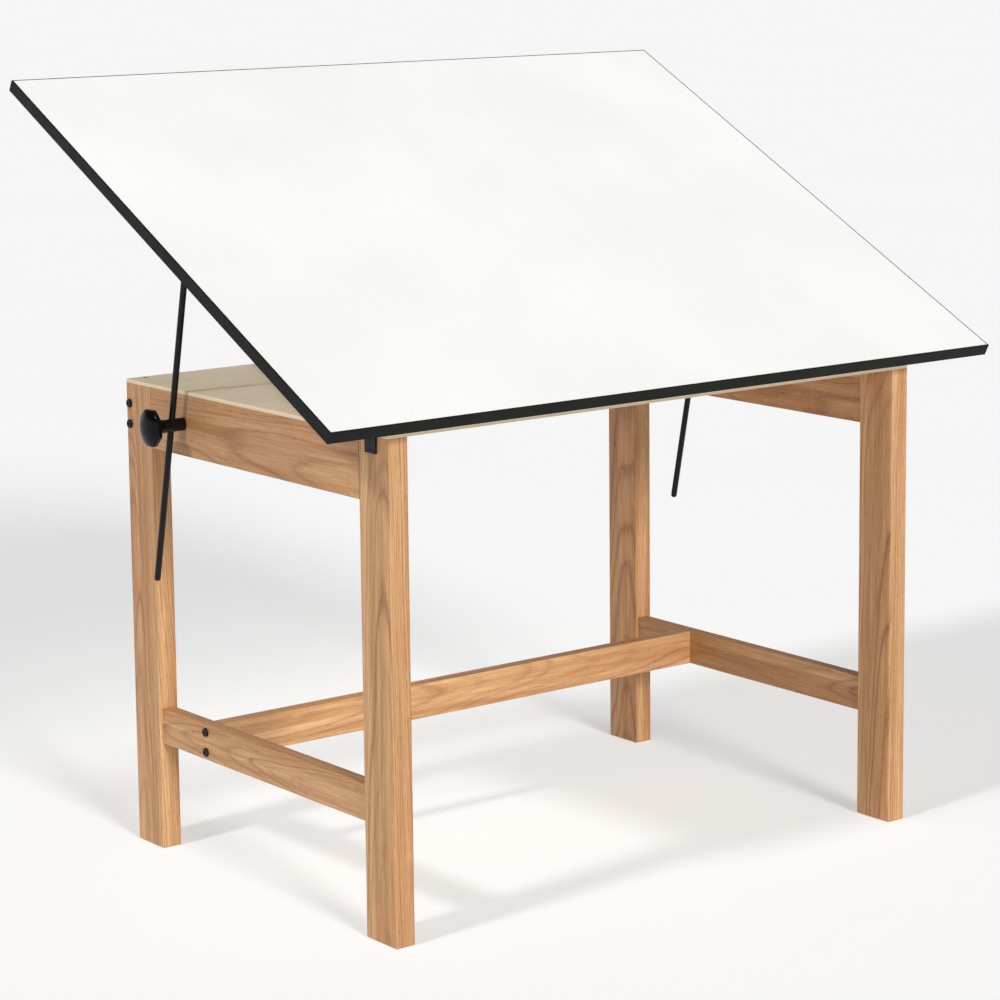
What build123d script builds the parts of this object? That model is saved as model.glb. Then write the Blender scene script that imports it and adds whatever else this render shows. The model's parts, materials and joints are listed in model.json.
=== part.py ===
from build123d import *
from math import atan2, cos, degrees, hypot, radians, sin, sqrt
import os

# A four-post drafting table. The drawing board turns on an axis near its front edge, and a steel
# rod on each side slides through a clamp that holds the tilt.
# Millimetres. X runs along the board's long edge, Y from the user to the back and Z up. The origin
# is on the floor, under the middle of the table's outline with the board at its stored tilt.

# ---------------------------------------------------------------- driving dimensions
# drawing board
board_width = 1219.2
board_depth = 914.4
board_thickness = 18
laminate_thickness = 0.8
band_thickness = 2.5
band_rounding = 0.8
rest_tilt = 27.6

# leg frame
frame_width = 968
frame_depth = 672
leg_height = 706.5
leg_width = 32
leg_depth = 70
leg_rounding = 2
foot_chamfer = 1.5
apron_thickness = 22
apron_height = 91.5
back_apron_thickness = 19
stretcher_thickness = 22
stretcher_height = 54
stretcher_bottom = 163
long_stretcher_setback = 191
tenon_length = 35
tenon_thickness = 10
tenon_shoulder = 8
rail_rounding = 1.5
panel_thickness = 5.2
panel_corner_radius = 2

# tilt axis, from the frame and from the board
hinge_setback = 38.5
hinge_rise = 8.5
board_nose = 67.5
board_lift = 39.4
strap_width = 25
strap_thickness = 3
strap_overlap = 23.5
strap_screw_margin = 6
strap_screw_pitch = 10.5
leaf_flange_width = 50
leaf_flange_depth = 46
pivot_radius = 4
pivot_nut_height = 6.5

# side rods and their clamps
rod_radius = 4.75
rod_length = 546
rod_offset = 20
rod_pin_drop = 16
rod_pin_radius = 3
eye_radius = 8
eye_thickness = 5
clamp_setback = 158
clamp_drop = 44
clamp_radius = 9.5
spacer_length = 12.5
swivel_end = 36
stud_radius = 5
knob_screw_radius = 4
knob_face_start = 51
knob_thickness = 15
knob_dome_radius = 52
knob_across_flats = 54
knob_sides = 8

# fasteners
bolt_radius = 3
bolt_hole_radius = 3.5
bolt_head_radius = 6.5
bolt_head_height = 3.5
bolt_end_past_nut = 10
barrel_nut_radius = 5
barrel_nut_length = 14
barrel_nut_depth = 30
screw_radius = 2
screw_head_radius = 4
running_gap = 0.05

# ---------------------------------------------------------------- worked-out positions
tilt = radians(rest_tilt)
board_top = board_lift + board_thickness
board_tail = board_depth - board_nose
reach_front = board_nose * cos(tilt) + board_top * sin(tilt)
reach_back = board_tail * cos(tilt) - board_lift * sin(tilt)
pivot_y = (reach_front - reach_back) / 2
pivot_z = leg_height + hinge_rise

side_face = frame_width / 2
leg_inner = side_face - leg_width
front_face = pivot_y - hinge_setback
back_face = front_face + frame_depth
rail_front = front_face + leg_depth
rail_back = back_face - leg_depth
apron_bottom = leg_height - apron_height
panel_top = leg_height + panel_thickness
stretcher_top = stretcher_bottom + stretcher_height
stretcher_x = side_face - leg_width / 2
stretcher_face = stretcher_x + stretcher_thickness / 2
long_stretcher_y = back_face - long_stretcher_setback

# The clamp and the rod's top pin are equally far from the tilt axis, so the rod always turns
# half as far as the board.
clamp_y = back_face - clamp_setback
clamp_z = leg_height - clamp_drop
rod_x = side_face + rod_offset
arm = hypot(clamp_y - pivot_y, clamp_z - pivot_z)
pin_up = board_lift - rod_pin_drop
pin_along = sqrt(arm ** 2 - pin_up ** 2)
pin_y = pivot_y + pin_along * cos(tilt) - pin_up * sin(tilt)
pin_z = pivot_z + pin_along * sin(tilt) + pin_up * cos(tilt)
rod_lean = degrees(atan2(clamp_y - pin_y, pin_z - clamp_z))

board_place = Pos(0, pivot_y, pivot_z) * Rot(rest_tilt, 0, 0)
rod_place = Pos(rod_x, pin_y, pin_z) * Rot(rod_lean, 0, 0)

# washer, lug and nut stacked outward from the strap on the pivot stud
washer_thickness = 1
washer_start = side_face + strap_thickness
lug_start = washer_start + washer_thickness + running_gap
lug_end = lug_start + strap_thickness
pivot_nut_start = lug_end + running_gap
pivot_nut_end = pivot_nut_start + pivot_nut_height
strap_radius = strap_width / 2


# ---------------------------------------------------------------- general shapes
def slab(x0, x1, y0, y1, z0, z1):
    """A box between two opposite corners."""
    return Pos((x0 + x1) / 2, (y0 + y1) / 2, (z0 + z1) / 2) * Box(x1 - x0, y1 - y0, z1 - z0)


def bar_x(radius, x0, x1, y, z):
    """A round bar or bore along X."""
    return Pos((x0 + x1) / 2, y, z) * Rot(0, 90, 0) * Cylinder(radius, x1 - x0)


def bar_y(radius, y0, y1, x, z):
    """A round bar or bore along Y."""
    return Pos(x, (y0 + y1) / 2, z) * Rot(90, 0, 0) * Cylinder(radius, y1 - y0)


def hexagon_x(across_flats, x0, x1, y, z):
    """A hexagonal prism along X."""
    outline = RegularPolygon(across_flats / 2, 6, major_radius=False)
    return Pos(x0, y, z) * Rot(0, 90, 0) * extrude(outline, x1 - x0)


def mirrored(shape):
    """The same piece on the left-hand side."""
    return mirror(shape, about=Plane.YZ)


def save(node, *shapes):
    """Write one node, as its separate solids."""
    solids = [solid for shape in shapes for solid in shape.solids()]
    content = solids[0] if len(solids) == 1 else Compound(solids)
    export_step(content, f"parts/{node}.step")


def save_pair(name, shape):
    """Write a right-hand piece and its mirror image as two nodes."""
    save(f"{name}_right", shape)
    save(f"{name}_left", mirrored(shape))


# ---------------------------------------------------------------- fasteners
def furniture_bolt(length):
    """A bolt with a low round head and a hexagon socket: head up, seat at the origin."""
    socket_flats = 4
    socket_depth = 2
    head = Cylinder(bolt_head_radius, bolt_head_height, align=(Align.CENTER, Align.CENTER, Align.MIN))
    head = fillet(head.edges().sort_by(Axis.Z)[-1], 1.6)
    shank = Cylinder(bolt_radius, length, align=(Align.CENTER, Align.CENTER, Align.MAX))
    socket = extrude(RegularPolygon(socket_flats / 2, 6, major_radius=False), socket_depth)
    return head + shank - Pos(0, 0, bolt_head_height - socket_depth) * socket


def cross_recess(depth):
    """The two crossed slots of a screwdriver recess, open upward from the origin."""
    slot = Box(3.8, 0.9, 2 * depth)
    return slot + Rot(0, 0, 90) * slot


def flush_seat(length):
    """The countersunk hole that a flush wood screw fills, with its mouth at the origin."""
    cone = Pos(0, 0, -1) * Cone(screw_radius, screw_head_radius, 2)
    shank = Cylinder(screw_radius, length, align=(Align.CENTER, Align.CENTER, Align.MAX))
    return cone + shank


def countersunk_screw(length):
    """A flush wood screw: head up, its flat top at the origin."""
    return flush_seat(length) - cross_recess(1)


def barrel_nut(x, y, z):
    """A cross dowel lying along Y, with its thread along X."""
    length = barrel_nut_length
    nut = bar_y(barrel_nut_radius, y - length / 2, y + length / 2, x, z)
    return nut - bar_x(bolt_radius, x - 10, x + 10, y, z)


# ---------------------------------------------------------------- leg frame
tenon_top = leg_height - tenon_shoulder
apron_x = side_face - apron_thickness / 2
apron_bolt_y = back_face - back_apron_thickness / 2
apron_bolt_heights = [leg_height - 31, leg_height - 62]
stretcher_bolt_heights = [stretcher_bottom + 12, stretcher_top - 12]
panel_screw_length = 26


def tenon(x, y0, y1, z0, z1):
    """A tenon, or the mortise that it fills, standing on a side rail's centre plane."""
    return slab(x - tenon_thickness / 2, x + tenon_thickness / 2, y0, y1, z0, z1)


def side_tenons(end_low, end_high):
    """The apron's and the stretcher's tenons between two Y positions."""
    apron = tenon(apron_x, end_low, end_high, apron_bottom + tenon_shoulder, tenon_top)
    low = stretcher_bottom + tenon_shoulder
    high = stretcher_top - tenon_shoulder
    return apron + tenon(stretcher_x, end_low, end_high, low, high)


def panel_screw_places():
    """Top-panel screws: one over each leg and one in the middle of the back apron."""
    side = side_face - 27
    front = front_face + 12
    back = back_face - 12
    return [(side, front), (-side, front), (side, back), (-side, back), (0, back)]


def leg(y0, y1):
    """A right-hand leg blank with eased edges."""
    blank = slab(leg_inner, side_face, y0, y1, 0, leg_height)
    blank = fillet(blank.edges().filter_by(Axis.Z), leg_rounding)
    return chamfer(blank.faces().sort_by(Axis.Z)[0].edges(), foot_chamfer)


def panel_screw_holes():
    """Countersunk holes of the top-panel screws, down into the frame."""
    return [Pos(x, y, panel_top) * flush_seat(panel_screw_length) for x, y in panel_screw_places()]


def strap_screw_places():
    """Both strap screws, one above the other, pointing inward from the strap's outer face."""
    lowest = leg_height - strap_overlap + strap_screw_margin
    turn = Rot(0, 90, 0)
    return [Pos(washer_start, pivot_y, height) * turn for height in (lowest, lowest + strap_screw_pitch)]


def front_leg():
    shape = leg(front_face, rail_front)
    shape -= side_tenons(rail_front - tenon_length, rail_front)
    for hole in panel_screw_holes():
        shape -= hole
    for place in strap_screw_places():
        shape -= place * flush_seat(strap_screw_length)
    return shape


def back_leg():
    shape = leg(rail_back, back_face)
    shape -= side_tenons(rail_back, rail_back + tenon_length)
    for hole in panel_screw_holes():
        shape -= hole
    for z in apron_bolt_heights:
        shape -= bar_x(bolt_hole_radius, leg_inner - 1, side_face + 1, apron_bolt_y, z)
    return shape


def side_apron():
    shape = slab(side_face - apron_thickness, side_face, rail_front, rail_back, apron_bottom, leg_height)
    low_edges = shape.edges().filter_by(Axis.Y).sort_by(Axis.Z)[:2]
    shape = fillet(low_edges, rail_rounding)
    for end in ((rail_front - tenon_length, rail_front), (rail_back, rail_back + tenon_length)):
        shape += tenon(apron_x, *end, apron_bottom + tenon_shoulder, tenon_top)
    for place in strap_screw_places():
        shape -= place * flush_seat(strap_screw_length)
    return shape - bar_x(stud_radius + running_gap, leg_inner, side_face + 1, clamp_y, clamp_z)


def side_stretcher():
    inner = stretcher_x - stretcher_thickness / 2
    shape = slab(inner, stretcher_face, rail_front, rail_back, stretcher_bottom, stretcher_top)
    shape = fillet(shape.edges().filter_by(Axis.Y), rail_rounding)
    low = stretcher_bottom + tenon_shoulder
    high = stretcher_top - tenon_shoulder
    for end in ((rail_front - tenon_length, rail_front), (rail_back, rail_back + tenon_length)):
        shape += tenon(stretcher_x, *end, low, high)
    for z in stretcher_bolt_heights:
        shape -= bar_x(bolt_hole_radius, inner - 1, stretcher_face + 1, long_stretcher_y, z)
    return shape


def bolted_rail(half_length, y0, y1, z0, z1, bolt_y, bolt_heights, nut_from):
    """A long rail whose ends take two bolts each, with cross bores for the barrel nuts."""
    shape = slab(-half_length, half_length, y0, y1, z0, z1)
    shape = fillet(shape.edges().filter_by(Axis.X).sort_by(Axis.Z)[:2], rail_rounding)
    nut_x = half_length - barrel_nut_depth
    nut_end = bolt_y + barrel_nut_length / 2
    nut_start = bolt_y - barrel_nut_length / 2
    if nut_from < bolt_y:
        bore_y = (nut_from - 1, nut_end)
    else:
        bore_y = (nut_start, nut_from + 1)
    for z in bolt_heights:
        hole_end = nut_x - bolt_end_past_nut - 2
        holes = bar_x(bolt_hole_radius, hole_end, half_length + 1, bolt_y, z)
        holes += bar_y(barrel_nut_radius, *bore_y, nut_x, z)
        shape -= holes
        shape -= mirrored(holes)
    return shape


def back_apron():
    y0 = back_face - back_apron_thickness
    shape = bolted_rail(leg_inner, y0, back_face, apron_bottom, leg_height,
                        apron_bolt_y, apron_bolt_heights, y0)
    for hole in panel_screw_holes():
        shape -= hole
    return shape


def long_stretcher():
    half = stretcher_x - stretcher_thickness / 2
    y0 = long_stretcher_y - stretcher_thickness / 2
    y1 = long_stretcher_y + stretcher_thickness / 2
    return bolted_rail(half, y0, y1, stretcher_bottom, stretcher_top,
                       long_stretcher_y, stretcher_bolt_heights, y1)


def top_panel():
    shape = slab(-side_face, side_face, front_face, back_face, leg_height, panel_top)
    shape = fillet(shape.edges().filter_by(Axis.Z), panel_corner_radius)
    shape = fillet(shape.faces().sort_by(Axis.Z)[-1].edges(), 1)
    for hole in panel_screw_holes():
        shape -= hole
    return shape


def bolts_and_nuts(seat_x, rail_end, bolt_y, heights):
    """Two bolts and their barrel nuts on the right, then the same on the left."""
    length = seat_x - rail_end + barrel_nut_depth + bolt_end_past_nut
    bolts = [Pos(seat_x, bolt_y, z) * Rot(0, 90, 0) * furniture_bolt(length) for z in heights]
    nuts = [barrel_nut(rail_end - barrel_nut_depth, bolt_y, z) for z in heights]
    return bolts + [mirrored(b) for b in bolts], nuts + [mirrored(n) for n in nuts]


# ---------------------------------------------------------------- tilt hinge
strap_screw_length = 26


def hinge_strap():
    """The flat post on the leg's side, with its round top about the tilt axis."""
    bottom = leg_height - strap_overlap
    shape = slab(side_face, washer_start, pivot_y - strap_radius, pivot_y + strap_radius, bottom, pivot_z)
    shape = chamfer(shape.edges().filter_by(Axis.X).sort_by(Axis.Z)[:2], 0.6)
    shape += bar_x(strap_radius, side_face, washer_start, pivot_y, pivot_z)
    shape -= bar_x(pivot_radius, side_face - 1, washer_start + 1, pivot_y, pivot_z)
    for place in strap_screw_places():
        shape -= place * flush_seat(strap_screw_length)
    return shape


def pivot_stud():
    """A stud riveted flush into the strap, with its threaded end outside the nut."""
    stud = bar_x(pivot_radius, side_face, pivot_nut_end + 1.5, pivot_y, pivot_z)
    return chamfer(stud.edges().sort_by(Axis.X)[-1], 0.8)


def pivot_nut():
    shape = hexagon_x(13, pivot_nut_start, pivot_nut_end, pivot_y, pivot_z)
    return shape - bar_x(pivot_radius, side_face, pivot_nut_end + 1, pivot_y, pivot_z)


def pivot_washer():
    shape = bar_x(9, washer_start, washer_start + washer_thickness, pivot_y, pivot_z)
    return shape - bar_x(pivot_radius, side_face, lug_end, pivot_y, pivot_z)


# The pieces below belong to the board. They are made with the board level and the tilt axis along
# X through the origin, and placed by board_place.
leaf_under = board_lift - strap_thickness
leaf_screw_length = 16
leaf_screw_places = [(lug_end - 18, -14), (lug_end - 18, 14), (lug_end - 40, -14), (lug_end - 40, 14)]

bracket_sheet = 2.5
bracket_width = 46
bracket_depth = 44
bracket_under = board_lift - bracket_sheet
bracket_screw_length = 14
bracket_screw_places = [(rod_x + dx, pin_along + dy) for dx in (-17, 17) for dy in (-14, 14)]


def hinge_leaf():
    """An angle under the board whose lug turns on the pivot stud, outside the strap."""
    flange = slab(lug_end - leaf_flange_width, lug_end, -leaf_flange_depth / 2, leaf_flange_depth / 2,
                  leaf_under, board_lift)
    flange = fillet(flange.edges().filter_by(Axis.Z), 3)
    lug = slab(lug_start, lug_end, -strap_radius, strap_radius, 0, board_lift)
    lug += bar_x(strap_radius, lug_start, lug_end, 0, 0)
    shape = flange + lug - bar_x(pivot_radius + running_gap, side_face, lug_end + 1, 0, 0)
    for x, y in leaf_screw_places:
        shape -= Pos(x, y, leaf_under) * Rot(180, 0, 0) * flush_seat(leaf_screw_length)
    return shape


def rod_bracket():
    """A clevis under the board that holds the rod's top pin."""
    plate = slab(rod_x - bracket_width / 2, rod_x + bracket_width / 2, pin_along - bracket_depth / 2,
                 pin_along + bracket_depth / 2, bracket_under, board_lift)
    shape = fillet(plate.edges().filter_by(Axis.Z), 4)
    ear_gap = eye_thickness / 2 + 0.5
    for start in (rod_x + ear_gap, rod_x - ear_gap - bracket_sheet):
        ear = slab(start, start + bracket_sheet, pin_along - 9, pin_along + 9, pin_up, board_lift)
        ear += bar_x(9, start, start + bracket_sheet, pin_along, pin_up)
        shape += ear
    shape -= bar_x(rod_pin_radius, rod_x - 10, rod_x + 10, pin_along, pin_up)
    for x, y in bracket_screw_places:
        shape -= Pos(x, y, bracket_under) * Rot(180, 0, 0) * flush_seat(bracket_screw_length)
    return shape


pin_grip = eye_thickness / 2 + 0.5 + bracket_sheet


def rod_pin():
    """A headed pin through the bracket's ears and the rod's eye."""
    shank = bar_x(rod_pin_radius, rod_x - pin_grip - 4, rod_x + pin_grip, pin_along, pin_up)
    return shank + bar_x(5, rod_x + pin_grip, rod_x + pin_grip + 2.5, pin_along, pin_up)


def rod_pin_clip():
    """The ring that keeps the pin in."""
    ring = bar_x(5, rod_x - pin_grip - 1.5, rod_x - pin_grip, pin_along, pin_up)
    return ring - bar_x(rod_pin_radius, rod_x - 20, rod_x, pin_along, pin_up)


# ---------------------------------------------------------------- drawing board
def board_screw_holes(shape):
    """Cut the screws of both hinge leaves and both rod brackets out of a board layer."""
    for x, y in leaf_screw_places:
        hole = Pos(x, y, leaf_under) * Rot(180, 0, 0) * flush_seat(leaf_screw_length)
        shape = shape - hole - mirrored(hole)
    for x, y in bracket_screw_places:
        hole = Pos(x, y, bracket_under) * Rot(180, 0, 0) * flush_seat(bracket_screw_length)
        shape = shape - hole - mirrored(hole)
    return shape


def board_layer(z0, z1):
    """One sheet of the board, inside the edge band."""
    half = board_width / 2 - band_thickness
    return slab(-half, half, band_thickness - board_nose, board_tail - band_thickness, z0, z1)


def long_band(y0):
    """A front or back edge strip over the full width."""
    half = board_width / 2
    strip = slab(-half, half, y0, y0 + band_thickness, board_lift, board_top)
    return fillet(strip.edges().filter_by(Axis.X), band_rounding)


def side_band():
    """A right-hand edge strip between the front and back strips."""
    edge = board_width / 2
    strip = slab(edge - band_thickness, edge, band_thickness - board_nose,
                 board_tail - band_thickness, board_lift, board_top)
    return fillet(strip.edges().filter_by(Axis.Y), band_rounding)


# ---------------------------------------------------------------- rods and clamps
def support_rod():
    """A round rod with a flattened eye, hanging down from its pin at the origin."""
    neck = 15
    shank = Pos(0, 0, -(neck + rod_length) / 2) * Cylinder(rod_radius, rod_length - neck)
    shank = fillet(shank.edges().sort_by(Axis.Z)[0], rod_radius - 0.5)
    shank = chamfer(shank.edges().sort_by(Axis.Z)[-1], 2)
    tongue = slab(-eye_thickness / 2, eye_thickness / 2, -5.5, 5.5, -neck, 0)
    eye = bar_x(eye_radius, -eye_thickness / 2, eye_thickness / 2, 0, 0)
    bore = bar_x(rod_pin_radius + running_gap, -eye_thickness, eye_thickness, 0, 0)
    return shank + tongue + eye - bore


def at_clamp(radius, start, end):
    """A round bar along X on the clamp's axis, measured outward from the apron's outer face."""
    return bar_x(radius, side_face + start, side_face + end, clamp_y, clamp_z)


stud_inner_end = -apron_thickness - 12
clamp_washer_thickness = 1.6
clamp_nut_thickness = 8


def clamp_spacer():
    shape = at_clamp(clamp_radius, 0, spacer_length)
    return shape - at_clamp(stud_radius + running_gap, -1, spacer_length + 1)


def clamp_swivel():
    """A stud that turns in the apron, with a cross hole for the rod in its head."""
    head = at_clamp(clamp_radius, spacer_length + running_gap, swivel_end)
    head += at_clamp(stud_radius, stud_inner_end, spacer_length + running_gap)
    rod_hole = Pos(rod_x, clamp_y, clamp_z) * Rot(rod_lean, 0, 0) * Cylinder(rod_radius + running_gap, 40)
    thread = at_clamp(knob_screw_radius + running_gap, rod_offset, swivel_end + 1)
    return head - rod_hole - thread


def clamp_washer():
    end = -apron_thickness - running_gap
    return at_clamp(10, end - clamp_washer_thickness, end) - at_clamp(stud_radius, -40, 0)


def clamp_nut():
    end = side_face - apron_thickness - running_gap - clamp_washer_thickness
    shape = hexagon_x(17, end - clamp_nut_thickness, end, clamp_y, clamp_z)
    return shape - at_clamp(stud_radius, -50, 0)


def knob_screw():
    """The screw moulded into the knob, whose tip bears on the rod."""
    tip = rod_offset + rod_radius + 2 * running_gap
    return at_clamp(knob_screw_radius, tip, knob_face_start + 5)


def knob():
    """An eight-sided knob with a domed face and a round hub."""
    hub = at_clamp(clamp_radius, swivel_end + 2 * running_gap, knob_face_start + 1)
    outline = RegularPolygon(knob_across_flats / 2, knob_sides, major_radius=False, rotation=180 / knob_sides)
    disc = extrude(fillet(outline.vertices(), 7), knob_thickness)
    disc = disc & Pos(0, 0, knob_thickness - knob_dome_radius) * Sphere(knob_dome_radius)
    disc = fillet(disc.faces().sort_by(Axis.Z)[-1].edges(), 2)
    disc = fillet(disc.faces().sort_by(Axis.Z)[0].edges(), 2)
    disc = Pos(side_face + knob_face_start, clamp_y, clamp_z) * Rot(0, 90, 0) * disc
    return disc + hub - knob_screw()


# ---------------------------------------------------------------- writing the nodes
def write_frame():
    save_pair("leg_front", front_leg())
    save_pair("leg_back", back_leg())
    save_pair("side_apron", side_apron())
    save_pair("side_stretcher", side_stretcher())
    save("back_apron", back_apron())
    save("long_stretcher", long_stretcher())
    save("frame_panel", top_panel())
    bolts, nuts = bolts_and_nuts(side_face, leg_inner, apron_bolt_y, apron_bolt_heights)
    save("apron_bolts", *bolts)
    save("apron_barrel_nuts", *nuts)
    rail_end = stretcher_x - stretcher_thickness / 2
    bolts, nuts = bolts_and_nuts(stretcher_face, rail_end, long_stretcher_y, stretcher_bolt_heights)
    save("stretcher_bolts", *bolts)
    save("stretcher_barrel_nuts", *nuts)
    screw = countersunk_screw(panel_screw_length)
    save("panel_screws", *[Pos(x, y, panel_top) * screw for x, y in panel_screw_places()])


def write_hinges():
    save_pair("hinge_strap", hinge_strap())
    screws = [place * countersunk_screw(strap_screw_length) for place in strap_screw_places()]
    save("hinge_strap_screws", *screws, *[mirrored(screw) for screw in screws])
    for name, shape in (("pivot_studs", pivot_stud()), ("pivot_nuts", pivot_nut()),
                        ("pivot_washers", pivot_washer())):
        save(name, shape, mirrored(shape))


def write_board():
    core = board_layer(board_lift + laminate_thickness, board_top - laminate_thickness)
    save("board_core", board_place * board_screw_holes(core))
    backer = board_layer(board_lift, board_lift + laminate_thickness)
    save("board_backer", board_place * board_screw_holes(backer))
    save("board_laminate", board_place * board_layer(board_top - laminate_thickness, board_top))
    save("edge_band_front", board_place * long_band(-board_nose))
    save("edge_band_back", board_place * long_band(board_tail - band_thickness))
    save_pair("edge_band", board_place * side_band())
    save_pair("hinge_leaf", board_place * hinge_leaf())
    save_pair("rod_bracket", board_place * rod_bracket())
    leaf_screws = [Pos(x, y, leaf_under) * Rot(180, 0, 0) * countersunk_screw(leaf_screw_length)
                   for x, y in leaf_screw_places]
    bracket_screws = [Pos(x, y, bracket_under) * Rot(180, 0, 0) * countersunk_screw(bracket_screw_length)
                      for x, y in bracket_screw_places]
    for name, pieces in (("hinge_leaf_screws", leaf_screws), ("rod_bracket_screws", bracket_screws),
                         ("rod_pins", [rod_pin()]), ("rod_pin_clips", [rod_pin_clip()])):
        placed = [board_place * piece for piece in pieces]
        save(name, *placed, *[mirrored(piece) for piece in placed])


def write_rods_and_clamps():
    save_pair("support_rod", rod_place * support_rod())
    save_pair("clamp_spacer", clamp_spacer())
    save_pair("clamp_swivel", clamp_swivel())
    save_pair("clamp_washer", clamp_washer())
    save_pair("clamp_nut", clamp_nut())
    save_pair("knob_screw", knob_screw())
    save_pair("knob", knob())


os.makedirs("parts", exist_ok=True)
write_frame()
write_hinges()
write_board()
write_rods_and_clamps()
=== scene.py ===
import json
from math import cos, radians, sin

import bpy
from mathutils import Matrix, Vector


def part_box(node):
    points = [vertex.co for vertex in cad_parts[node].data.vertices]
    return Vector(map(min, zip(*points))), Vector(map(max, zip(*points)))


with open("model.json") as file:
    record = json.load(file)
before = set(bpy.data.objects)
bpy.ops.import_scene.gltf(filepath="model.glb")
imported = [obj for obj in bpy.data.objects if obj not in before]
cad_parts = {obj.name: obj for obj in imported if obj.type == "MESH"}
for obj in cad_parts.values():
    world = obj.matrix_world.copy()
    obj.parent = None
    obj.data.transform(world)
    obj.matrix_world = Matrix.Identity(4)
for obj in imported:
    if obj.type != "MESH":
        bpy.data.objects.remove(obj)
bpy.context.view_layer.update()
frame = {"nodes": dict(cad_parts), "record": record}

NODES = frame["nodes"]


# ---------------------------------------------------------------- node helpers
def linear(red, green, blue):
    """A display colour, 0 to 255, as linear red, green, blue and alpha."""
    def channel(value):
        value /= 255
        return value / 12.92 if value <= 0.04045 else ((value + 0.055) / 1.055) ** 2.4
    return channel(red), channel(green), channel(blue), 1.0


class Shader:
    """A new material with short ways to add and join its nodes."""

    def __init__(self, name):
        self.material = bpy.data.materials.new(name)
        self.material.use_nodes = True
        self.tree = self.material.node_tree
        self.surface = self.tree.nodes["Principled BSDF"]

    def add(self, kind, inputs, **settings):
        node = self.tree.nodes.new(kind)
        for name, value in settings.items():
            setattr(node, name, value)
        for name, value in inputs.items():
            self.feed(node.inputs[name], value)
        return node

    def feed(self, socket, value):
        if isinstance(value, bpy.types.NodeSocket):
            self.tree.links.new(value, socket)
        else:
            socket.default_value = value

    def place(self):
        """Position in metres in the part's frame."""
        return self.add("ShaderNodeTexCoord", {}).outputs["Object"]

    def normal(self):
        return self.add("ShaderNodeNewGeometry", {}).outputs["Normal"]

    def parts_of(self, vector):
        return self.add("ShaderNodeSeparateXYZ", {"Vector": vector}).outputs

    def join(self, x, y, z):
        return self.add("ShaderNodeCombineXYZ", {"X": x, "Y": y, "Z": z}).outputs["Vector"]

    def stretch(self, vector, scale, offset=(0, 0, 0)):
        """The vector scaled along each axis and then moved."""
        inputs = {"Vector": vector, "Location": offset, "Scale": scale}
        return self.add("ShaderNodeMapping", inputs).outputs["Vector"]

    def noise(self, vector, scale=1.0, detail=2.0, roughness=0.5):
        inputs = {"Vector": vector, "Scale": scale, "Detail": detail, "Roughness": roughness}
        return self.add("ShaderNodeTexNoise", inputs).outputs

    def math(self, operation, first, second=0.0):
        node = self.tree.nodes.new("ShaderNodeMath")
        node.operation = operation
        self.feed(node.inputs[0], first)
        self.feed(node.inputs[1], second)
        return node.outputs[0]

    def vector_math(self, operation, first, second):
        inputs = {0: first, 1: second}
        return self.add("ShaderNodeVectorMath", inputs, operation=operation).outputs[0]

    def remap(self, value, low, high, to_low=0.0, to_high=1.0):
        inputs = {"Value": value, "From Min": low, "From Max": high, "To Min": to_low, "To Max": to_high}
        return self.add("ShaderNodeMapRange", inputs).outputs["Result"]

    def ramp(self, value, stops):
        """A colour ramp through (position, colour) stops."""
        node = self.add("ShaderNodeValToRGB", {"Fac": value})
        elements = node.color_ramp.elements
        while len(elements) < len(stops):
            elements.new(0.5)
        for element, (position, colour) in zip(elements, stops):
            element.position = position
            element.color = colour
        return node.outputs["Color"]

    def mix(self, factor, first, second, blend="MIX"):
        node = self.tree.nodes.new("ShaderNodeMix")
        node.data_type = "RGBA"
        node.blend_type = blend
        self.feed(node.inputs[0], factor)
        self.feed(node.inputs[6], first)
        self.feed(node.inputs[7], second)
        return node.outputs[2]

    def bump(self, height, distance, strength=1.0):
        inputs = {"Height": height, "Distance": distance, "Strength": strength}
        self.feed(self.surface.inputs["Normal"], self.add("ShaderNodeBump", inputs).outputs["Normal"])

    def finish(self, **values):
        """Set the surface's own sockets by name, with _ for a space."""
        for name, value in values.items():
            self.feed(self.surface.inputs[name.replace("_", " ")], value)
        return self.material


def dress(node, material):
    """Give a CAD node one material."""
    mesh = NODES[node].data
    mesh.materials.clear()
    mesh.materials.append(material)


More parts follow.
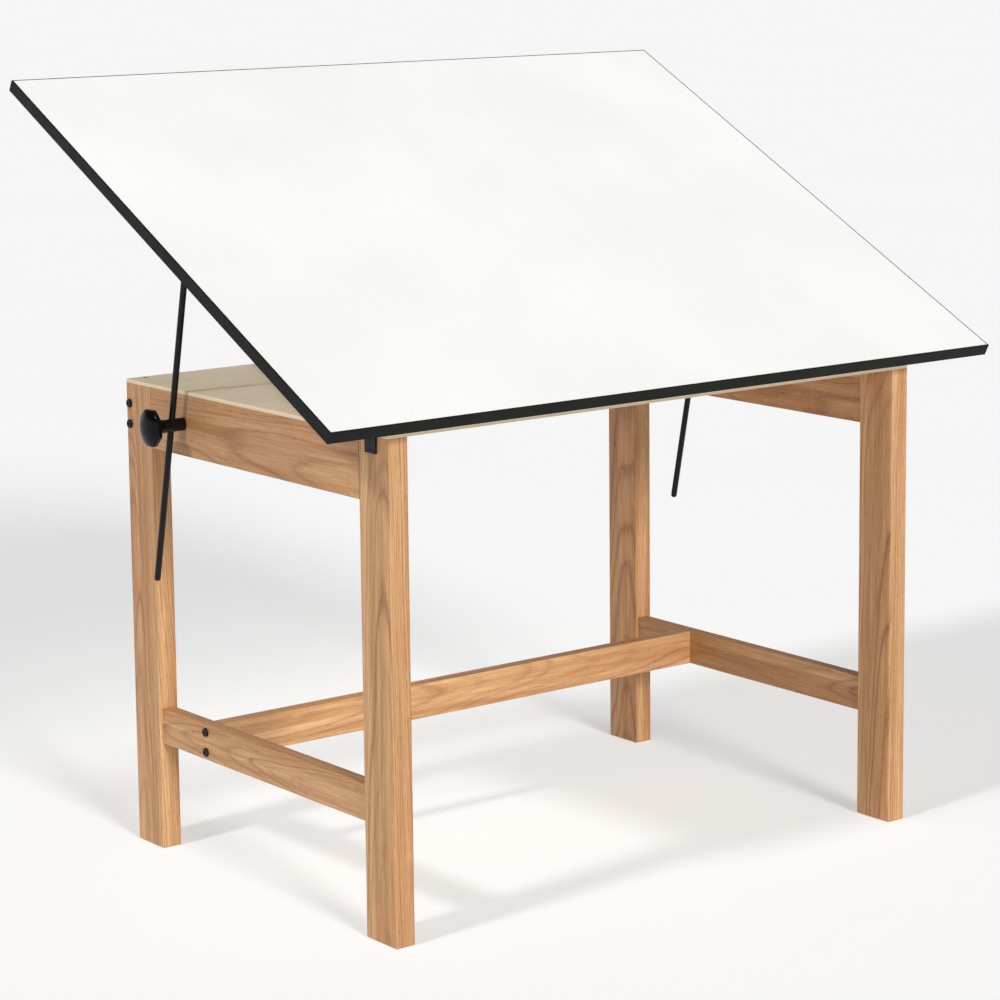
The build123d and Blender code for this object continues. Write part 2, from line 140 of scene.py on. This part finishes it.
# ---------------------------------------------------------------- wood
def oak(node, along, pith, seed):
    """Lacquered oak as a solid texture: growth rings round a pith line that runs along the piece.

    The pith is offset across the piece by two distances in metres, and the seed gives
    each piece grain of its own.
    """
    ring_width = 0.0042
    ring_drift = 2.4
    pith_cone = 0.035
    pith_waver = 0.045
    low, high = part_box(node)
    middle = (low + high) / 2
    shader = Shader(f"oak_{node}")
    centred = shader.stretch(shader.place(), (1, 1, 1), tuple(-middle))
    x, y, z = shader.parts_of(centred)
    wood = {"X": shader.join(y, z, x), "Y": shader.join(x, z, y), "Z": shader.join(x, y, z)}[along]
    seeded = shader.stretch(wood, (1, 1, 1), (3.1 * seed, 5.7 * seed, 2.3 * seed))

    warp = shader.noise(shader.stretch(seeded, (7, 7, 1.6)), detail=2.0)["Color"]
    warp = shader.vector_math("SUBTRACT", warp, (0.5, 0.5, 0.5))
    warp = shader.vector_math("MULTIPLY", warp, (pith_waver, pith_waver, 0))
    bent = shader.vector_math("ADD", wood, warp)
    across, up, length = shader.parts_of(bent)
    across = shader.math("ADD", across, pith[0])
    up = shader.math("ADD", up, pith[1])
    across_squared = shader.math("MULTIPLY", across, across)
    up_squared = shader.math("MULTIPLY", up, up)
    radius = shader.math("SQRT", shader.math("ADD", across_squared, up_squared))
    radius = shader.math("ADD", radius, shader.math("MULTIPLY", length, pith_cone))
    rings = shader.math("DIVIDE", radius, ring_width)
    uneven = shader.noise(shader.join(rings, seed, 0.0), scale=0.35, detail=1.0)["Fac"]
    rings = shader.math("ADD", rings, shader.math("MULTIPLY", uneven, ring_drift))
    ring = shader.math("FRACT", rings)
    darkness_in_ring = [(0.0, 0.25), (0.3, 0.05), (0.62, 0.2), (0.86, 1.0), (1.0, 0.35)]
    line = shader.ramp(ring, [(step, (grey, grey, grey, 1)) for step, grey in darkness_in_ring])
    boldness = shader.noise(shader.join(shader.math("MULTIPLY", rings, 0.55), seed, 1.7), detail=1.0)["Fac"]
    line = shader.math("MULTIPLY", line, shader.remap(boldness, 0.36, 0.66, 0.22, 1.0))

    # each scale is across, up and along the grain: the smaller the last number, the longer the mark
    fibre = shader.noise(shader.stretch(seeded, (420, 420, 14)), detail=4.0, roughness=0.62)["Fac"]
    streak = shader.noise(shader.stretch(seeded, (70, 70, 1.5)), detail=2.0)["Fac"]
    patch = shader.noise(shader.stretch(seeded, (16, 16, 1.1)), detail=1.0)["Fac"]
    pore = shader.noise(shader.stretch(seeded, (1000, 1000, 85)), detail=2.0, roughness=0.6)["Fac"]
    pore = shader.remap(pore, 0.54, 0.66)
    pore = shader.math("MULTIPLY", pore, shader.remap(line, 0.0, 0.8, 0.25, 1.0))
    ray = shader.remap(shader.noise(shader.stretch(seeded, (240, 240, 30)), detail=1.0)["Fac"], 0.62, 0.72)

    pale = linear(211, 168, 120)
    honey = linear(180, 133, 86)
    rust = linear(164, 107, 63)
    brown = linear(134, 81, 43)
    dark = linear(94, 55, 28)
    colour = shader.mix(shader.remap(streak, 0.32, 0.68), pale, honey)
    colour = shader.mix(shader.math("MULTIPLY", shader.remap(patch, 0.42, 0.7), 0.5), colour, rust)
    colour = shader.mix(shader.math("MULTIPLY", line, 0.74), colour, brown)
    colour = shader.mix(shader.remap(fibre, 0.42, 0.68, 0.0, 0.4), colour, brown)
    colour = shader.mix(shader.math("MULTIPLY", ray, 0.25), colour, pale)
    colour = shader.mix(shader.math("MULTIPLY", pore, 0.6), colour, dark)

    relief = shader.math("SUBTRACT", shader.math("MULTIPLY", fibre, 0.25), pore)
    shader.bump(relief, distance=0.00022, strength=0.6)
    roughness = shader.remap(fibre, 0.3, 0.7, 0.4, 0.5)
    roughness = shader.math("ADD", roughness, shader.math("MULTIPLY", pore, 0.2))
    return shader.finish(Base_Color=colour, Roughness=roughness, Specular_IOR_Level=0.35,
                         Coat_Weight=0.08, Coat_Roughness=0.35)


def panel_wood():
    """The frame's top panel: a plain sanded veneer with a lacquered layered edge."""
    shader = Shader("panel_veneer")
    place = shader.place()
    height = shader.parts_of(place)["Z"]
    facing = shader.parts_of(shader.normal())["Z"]
    broad = shader.noise(shader.stretch(place, (1.4, 16, 16)), detail=3.0)["Fac"]
    fine = shader.noise(shader.stretch(place, (18, 520, 520)), detail=3.0, roughness=0.6)["Fac"]
    fleck = shader.remap(shader.noise(shader.stretch(place, (70, 1400, 1400)), detail=1.0)["Fac"], 0.6, 0.7)
    face = shader.mix(shader.remap(broad, 0.35, 0.65), linear(236, 220, 196), linear(226, 208, 181))
    face = shader.mix(shader.remap(fine, 0.4, 0.7, 0.0, 0.3), face, linear(214, 192, 160))
    face = shader.mix(shader.math("MULTIPLY", fleck, 0.3), face, linear(140, 116, 88))
    low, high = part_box("frame_panel")
    layers = 3
    layers_per_metre = layers / (high.z - low.z)
    layer = shader.math("MULTIPLY", shader.math("SUBTRACT", height, low.z), layers_per_metre)
    layer = shader.math("PINGPONG", layer, 1.0)
    edge = shader.mix(shader.remap(layer, 0.35, 0.65), linear(226, 208, 180), linear(214, 192, 160))
    edge_grain = shader.noise(shader.stretch(place, (160, 160, 900)), detail=2.0)["Fac"]
    edge = shader.mix(shader.remap(edge_grain, 0.5, 0.75, 0.0, 0.35), edge, linear(190, 158, 120))
    colour = shader.mix(shader.remap(facing, 0.3, 0.6), edge, face)
    shader.bump(fine, distance=0.0001, strength=0.35)
    return shader.finish(Base_Color=colour, Roughness=shader.remap(fine, 0.3, 0.7, 0.46, 0.58))


def particle_core():
    """Raw particle board: flattened chips in many shades."""
    shader = Shader("particle_core")
    inputs = {"Vector": shader.stretch(shader.place(), (260, 420, 900)), "Scale": 1.0}
    chips = shader.add("ShaderNodeTexVoronoi", inputs).outputs
    shade = shader.parts_of(chips["Color"])["X"]
    dark_chip = linear(150, 118, 80)
    usual_chip = linear(196, 164, 120)
    pale_chip = linear(222, 196, 156)
    colour = shader.ramp(shade, [(0.0, dark_chip), (0.5, usual_chip), (1.0, pale_chip)])
    shader.bump(chips["Distance"], distance=0.0003)
    return shader.finish(Base_Color=colour, Roughness=0.85)


# ---------------------------------------------------------------- plastics and laminates
def white_laminate():
    """The drawing surface: a matte white melamine sheet with a faint pebble."""
    shader = Shader("white_laminate")
    place = shader.place()
    tone = shader.noise(place, scale=3.0, detail=2.0)["Fac"]
    pebble = shader.noise(place, scale=1400.0, detail=2.0)["Fac"]
    scuff = shader.noise(shader.stretch(place, (60, 9, 9)), detail=4.0)["Fac"]
    colour = shader.mix(shader.remap(tone, 0.35, 0.65), linear(236, 236, 234), linear(230, 230, 227))
    speckle = shader.noise(place, scale=420.0, detail=3.0, roughness=0.7)["Fac"]
    colour = shader.mix(shader.remap(speckle, 0.42, 0.66, 0.0, 0.5), colour, linear(223, 223, 219))
    shader.bump(pebble, distance=0.00004, strength=0.2)
    return shader.finish(Base_Color=colour, Roughness=shader.remap(scuff, 0.35, 0.7, 0.4, 0.52),
                         Specular_IOR_Level=0.35)


def backer_laminate():
    """The board's balancing sheet: a dull off-white phenolic face."""
    shader = Shader("backer_laminate")
    place = shader.place()
    cloud = shader.noise(place, scale=5.0, detail=3.0)["Fac"]
    speck = shader.remap(shader.noise(place, scale=700.0, detail=1.0)["Fac"], 0.62, 0.7)
    colour = shader.mix(shader.remap(cloud, 0.35, 0.65), linear(226, 222, 212), linear(216, 211, 199))
    colour = shader.mix(shader.math("MULTIPLY", speck, 0.25), colour, linear(160, 148, 128))
    shader.bump(shader.noise(place, scale=900.0, detail=2.0)["Fac"], distance=0.00008, strength=0.5)
    return shader.finish(Base_Color=colour, Roughness=0.62)


def black_vinyl():
    """The board's edge band: smooth black vinyl with a soft sheen."""
    shader = Shader("black_vinyl")
    place = shader.place()
    cloud = shader.noise(place, scale=24.0, detail=4.0, roughness=0.65)["Fac"]
    grain = shader.noise(place, scale=1500.0, detail=2.0)["Fac"]
    colour = shader.mix(shader.remap(cloud, 0.3, 0.7), linear(18, 22, 19), linear(13, 16, 14))
    shader.bump(grain, distance=0.00005, strength=0.5)
    return shader.finish(Base_Color=colour, Roughness=shader.remap(cloud, 0.3, 0.7, 0.38, 0.5),
                         Specular_IOR_Level=0.11)


def knob_phenolic():
    """Glossy moulded phenolic."""
    shader = Shader("knob_phenolic")
    place = shader.place()
    peel = shader.noise(place, scale=240.0, detail=2.0)["Fac"]
    smear = shader.noise(place, scale=70.0, detail=4.0, roughness=0.65)["Fac"]
    colour = shader.mix(shader.remap(smear, 0.3, 0.7), linear(5, 6, 5), linear(8, 9, 8))
    shader.bump(peel, distance=0.0001, strength=0.2)
    return shader.finish(Base_Color=colour, Roughness=shader.remap(smear, 0.35, 0.7, 0.08, 0.18),
                         Specular_IOR_Level=0.13)


# ---------------------------------------------------------------- metals
def black_steel(name, along_scale, roughness_low, roughness_high):
    """Black painted steel: fine orange peel, faint rubbing along the piece."""
    shader = Shader(name)
    place = shader.place()
    peel = shader.noise(place, scale=900.0, detail=2.0)["Fac"]
    rub = shader.noise(shader.stretch(place, along_scale), detail=5.0, roughness=0.6)["Fac"]
    colour = shader.mix(shader.remap(rub, 0.35, 0.72), linear(10, 12, 11), linear(17, 19, 18))
    shader.bump(peel, distance=0.00006, strength=0.5)
    roughness = shader.remap(rub, 0.3, 0.7, roughness_low, roughness_high)
    return shader.finish(Base_Color=colour, Roughness=roughness, Specular_IOR_Level=0.22)


def zinc_steel():
    """Zinc-plated steel with a cloudy spangle."""
    shader = Shader("zinc_steel")
    place = shader.place()
    cloud = shader.noise(place, scale=160.0, detail=4.0)["Fac"]
    colour = shader.mix(shader.remap(cloud, 0.3, 0.7), linear(196, 197, 192), linear(168, 170, 166))
    shader.bump(shader.noise(place, scale=1800.0)["Fac"], distance=0.00003, strength=0.4)
    roughness = shader.remap(cloud, 0.3, 0.7, 0.28, 0.42)
    return shader.finish(Base_Color=colour, Metallic=1.0, Roughness=roughness)


# ---------------------------------------------------------------- dressing the frame
OAK_PIECES = [
    # node, grain direction, pith offset across the piece, seed
    ("leg_front_left", "Z", (0.09, 0.02), 1.0),
    ("leg_front_right", "Z", (-0.08, 0.03), 2.2),
    ("leg_back_left", "Z", (0.07, -0.03), 3.1),
    ("leg_back_right", "Z", (-0.10, 0.01), 4.4),
    ("side_apron_left", "Y", (0.075, 0.012), 5.3),
    ("side_apron_right", "Y", (-0.08, 0.02), 6.1),
    ("side_stretcher_left", "Y", (0.07, 0.01), 7.7),
    ("side_stretcher_right", "Y", (-0.09, -0.01), 8.2),
    ("back_apron", "X", (0.08, 0.015), 9.4),
    ("long_stretcher", "X", (0.085, -0.012), 10.6),
]


def dress_frame():
    """Dress each oak piece in its own grain, the rods in rod steel and the rest by material slot."""
    for node, along, pith, seed in OAK_PIECES:
        dress(node, oak(node, along, pith, seed))
    rod = black_steel("rod_steel", (260, 260, 22), 0.28, 0.42)
    by_slot = {
        "panel_ply": panel_wood(),
        "board_core": particle_core(),
        "white_laminate": white_laminate(),
        "backer_laminate": backer_laminate(),
        "black_vinyl": black_vinyl(),
        "knob_plastic": knob_phenolic(),
        "zinc_steel": zinc_steel(),
        "black_fastener": black_steel("black_oxide", (400, 400, 400), 0.3, 0.45),
        "black_steel": black_steel("black_steel", (60, 60, 60), 0.36, 0.5),
    }
    for part in frame["record"]["subparts"]:
        node, slot = part["node"], part["material_slot"]
        if slot in by_slot:
            dress(node, rod if node.startswith("support_rod") else by_slot[slot])


# ---------------------------------------------------------------- stage, light and camera
def add_floor():
    """A plain pale floor just under the feet. Its glow lifts it to the paleness of the sky."""
    floor_size = 400
    gap_under_feet = 0.0005
    glow = 0.45
    bpy.ops.mesh.primitive_plane_add(size=floor_size, location=(0, 0, -gap_under_feet))
    floor = bpy.context.object
    floor.name = "floor"
    shader = Shader("pale_floor")
    soft = shader.noise(shader.place(), scale=0.8, detail=2.0)["Fac"]
    colour = shader.mix(soft, linear(196, 196, 196), linear(192, 192, 192))
    white = linear(255, 255, 255)
    shader.finish(Base_Color=colour, Roughness=0.9, Specular_IOR_Level=0.0,
                  Emission_Color=white, Emission_Strength=glow)
    floor.data.materials.append(shader.material)


def add_light(name, azimuth, elevation, spread, strength):
    """A distant soft light, its angles in degrees: azimuth 0 is in front of the table, 90 to its left."""
    bearing = radians(azimuth)
    height = radians(elevation)
    toward = Vector((-sin(bearing) * cos(height), -cos(bearing) * cos(height), sin(height)))
    light = bpy.data.lights.new(name, "SUN")
    light.angle = radians(spread)
    light.energy = strength
    lamp = bpy.data.objects.new(name, light)
    lamp.rotation_euler = toward.to_track_quat("Z", "Y").to_euler()
    bpy.context.scene.collection.objects.link(lamp)


def add_world(overhead, horizon):
    """A plain pale sky: bright near the horizon, like a studio's curved backdrop, and dim overhead."""
    horizon_ends = radians(8)
    overhead_starts = radians(16)
    world = bpy.data.worlds.new("studio")
    world.use_nodes = True
    nodes = world.node_tree.nodes
    links = world.node_tree.links
    direction = nodes.new("ShaderNodeTexCoord")
    parts = nodes.new("ShaderNodeSeparateXYZ")
    links.new(direction.outputs["Generated"], parts.inputs["Vector"])
    fade = nodes.new("ShaderNodeMapRange")
    fade.inputs["From Min"].default_value = sin(horizon_ends)
    fade.inputs["From Max"].default_value = sin(overhead_starts)
    fade.inputs["To Min"].default_value = horizon
    fade.inputs["To Max"].default_value = overhead
    links.new(parts.outputs["Z"], fade.inputs["Value"])
    background = nodes["Background"]
    background.inputs["Color"].default_value = (1, 1, 1, 1)
    links.new(fade.outputs["Result"], background.inputs["Strength"])
    bpy.context.scene.world = world


def add_camera():
    """A long lens at the front left, looking slightly down."""
    place = Vector((-2.8666, -3.6984, 1.4088))
    yaw = radians(37.61)
    pitch = radians(-9.03)
    roll = radians(-0.61)
    ahead = Vector((sin(yaw) * cos(pitch), cos(yaw) * cos(pitch), sin(pitch)))
    level = Vector((cos(yaw), -sin(yaw), 0))
    upright = level.cross(ahead)
    right = cos(roll) * level + sin(roll) * upright
    up = cos(roll) * upright - sin(roll) * level
    camera_data = bpy.data.cameras.new("camera")
    camera_data.sensor_width = 36
    camera_data.lens = 112.69
    camera_data.shift_y = -0.1
    camera_data.clip_end = 1000
    camera = bpy.data.objects.new("camera", camera_data)
    turn = Matrix((right, up, -ahead)).transposed()
    camera.matrix_world = Matrix.Translation(place) @ turn.to_4x4()
    bpy.context.scene.collection.objects.link(camera)
    bpy.context.scene.camera = camera


def set_stage():
    add_floor()
    add_world(overhead=0.14, horizon=0.96)
    add_light("key", azimuth=84, elevation=44, spread=7, strength=1.52)
    add_light("front_fill", azimuth=8, elevation=24, spread=14, strength=2.75)
    add_camera()
    bpy.context.scene.view_settings.view_transform = "Standard"


dress_frame()
set_stage()
